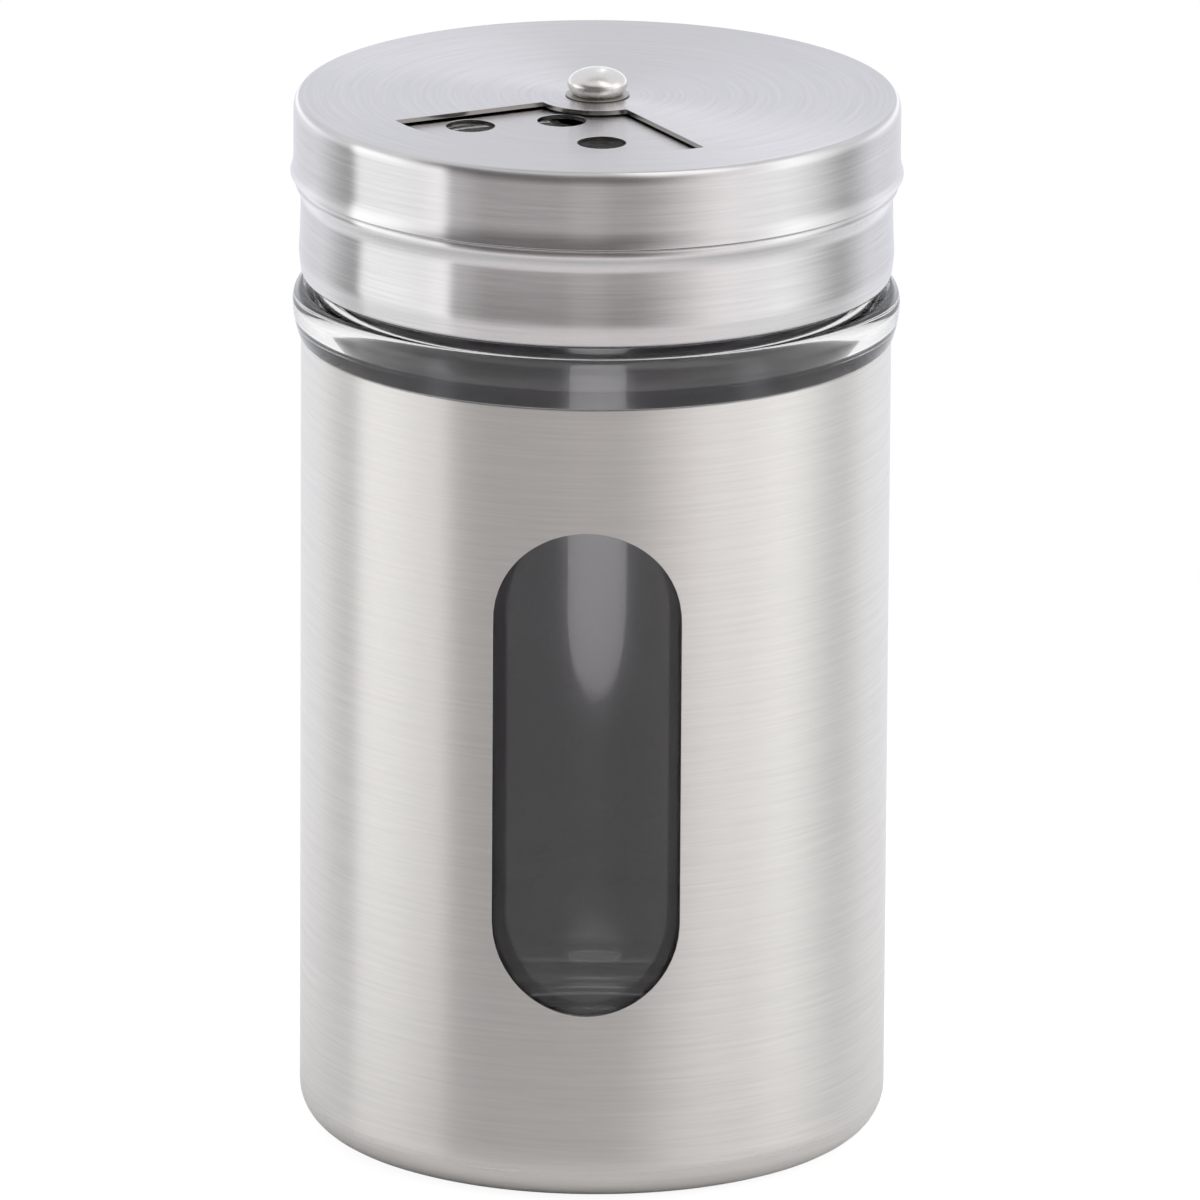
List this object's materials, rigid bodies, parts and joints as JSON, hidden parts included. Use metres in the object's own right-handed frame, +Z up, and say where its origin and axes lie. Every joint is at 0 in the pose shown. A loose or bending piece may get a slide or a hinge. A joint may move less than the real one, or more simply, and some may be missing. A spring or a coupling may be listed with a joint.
{
  "type": "spice shaker",
  "caption": "Spice shaker: a glass jar in a brushed steel sleeve with a sight window, and a screw-on lid whose riveted dial turns over a perforated plate.",
  "frame": {"origin": "centre of the foot, on the plane that the sleeve's foot ring stands on", "axes": "+Z up along the shaker's axis; the sleeve's sight window faces -Y"},
  "size_m": [0.0632, 0.0632, 0.1131],
  "materials": {
    "sleeve_steel": "brushed round the sleeve",
    "lid_steel": "spun brushing on the flats, brushed round the skirts",
    "washer_steel": "bright rolled",
    "rivet_steel": "polished",
    "jar_glass": "clear, fire polished",
    "insert_plastic": "moulded",
    "silicone": "translucent silicone",
    "adhesive": "set hot-melt adhesive"
  },
  "bodies": {
    "jar": {"steel_sleeve": "sleeve_steel", "glue_pad": "adhesive", "glass_jar": "jar_glass"},
    "seal": {"seal_ring": "silicone"},
    "lid": {"lid_collar": "lid_steel", "thread_insert": "insert_plastic"},
    "dial": {"dial_cap": "lid_steel", "rivet": "rivet_steel", "wave_washer": "washer_steel", "flat_washer": "washer_steel"}
  },
  "joints": [
    {"name": "lid_lift", "type": "slide", "parent": "jar", "child": "seal", "axis": [0, 0, 1], "range_m": [0, 0.016]},
    {"name": "lid_turn", "type": "hinge", "parent": "seal", "child": "lid", "pos_m": [0, 0, 0.1], "axis": [0, 0, 1], "range_deg": [0, 1440]},
    {"name": "dial_turn", "type": "hinge", "parent": "lid", "child": "dial", "pos_m": [0, 0, 0.11], "axis": [0, 0, 1], "continuous": true}
  ],
  "couplings": [
    {"joint": "lid_lift", "follows": "lid_turn", "m_per_rad": 0.0006366}
  ]
}
